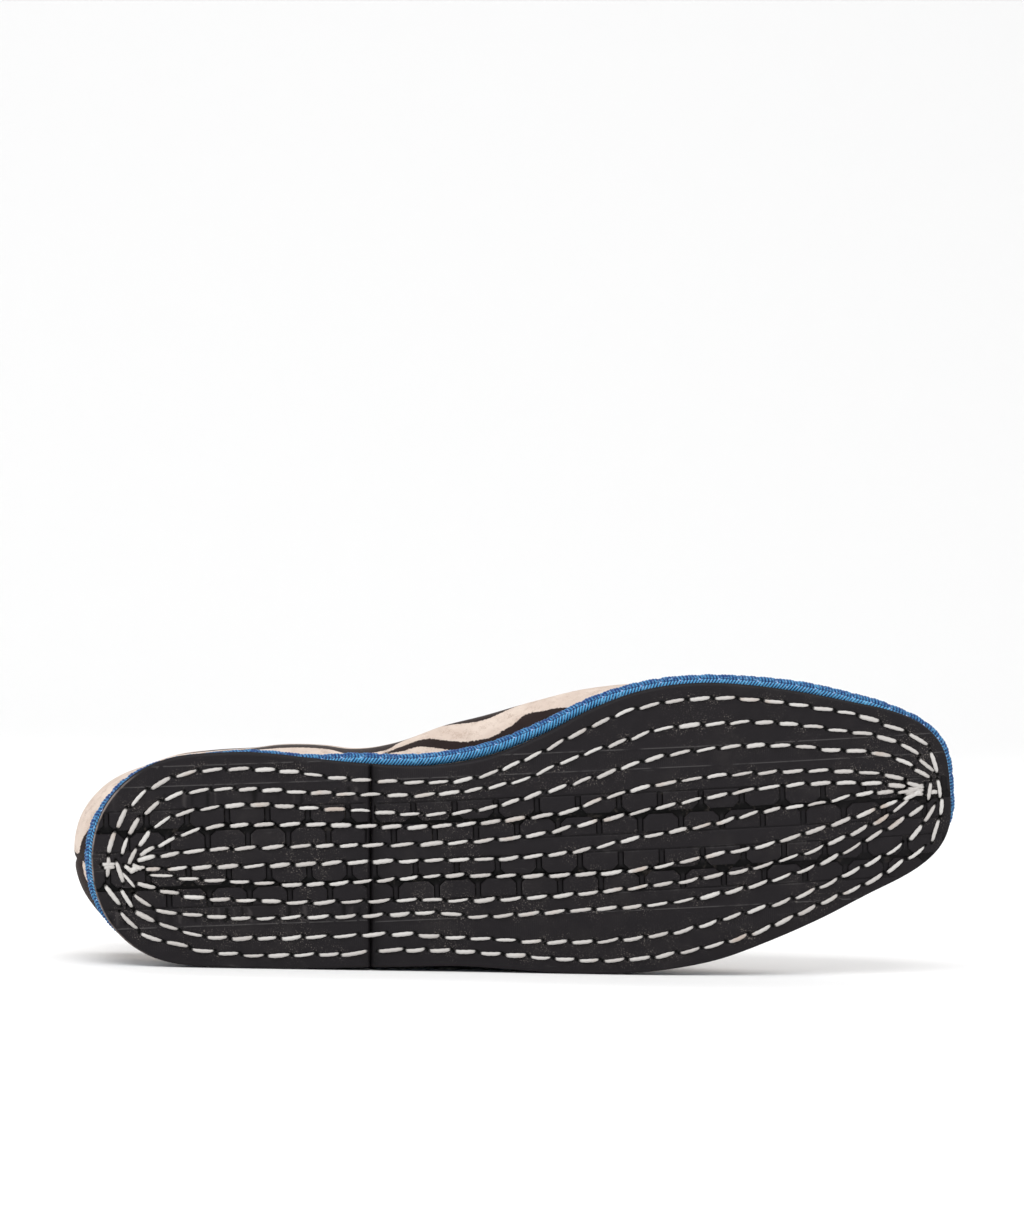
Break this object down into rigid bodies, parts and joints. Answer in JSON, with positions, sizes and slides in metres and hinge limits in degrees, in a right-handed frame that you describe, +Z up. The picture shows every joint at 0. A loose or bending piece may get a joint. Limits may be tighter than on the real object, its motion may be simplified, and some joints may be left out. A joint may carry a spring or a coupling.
{
  "type": "velvet slipper",
  "caption": "Closed-heel velvet house slipper lying on its outer side, with a stitched tyre-rubber sole, braided piping, a striped velvet upper and an open collar for the foot.",
  "frame": {"origin": "on the floor, under the middle of the lying slipper's box", "axes": "+X towards the toe, -Y out of the sole's ground face, +Z up from the floor, on the side of the big toe"},
  "size_m": [0.2704, 0.0644, 0.0927],
  "materials": {
    "sole_rubber": "dark grey tyre tread, dull with a slight gloss on the worn blocks",
    "piping_braid": "blue woven braid with a slight sheen",
    "velvet": "cream velvet with brown-black animal stripes, short nap",
    "insole_cloth": "plain woven cloth",
    "sole_thread": "thick waxed off-white thread"
  },
  "bodies": {
    "root": {"outsole_heel": "sole_rubber", "outsole_front": "sole_rubber", "piping": "piping_braid", "upper": "velvet", "insole": "insole_cloth"}
  },
  "joints": []
}
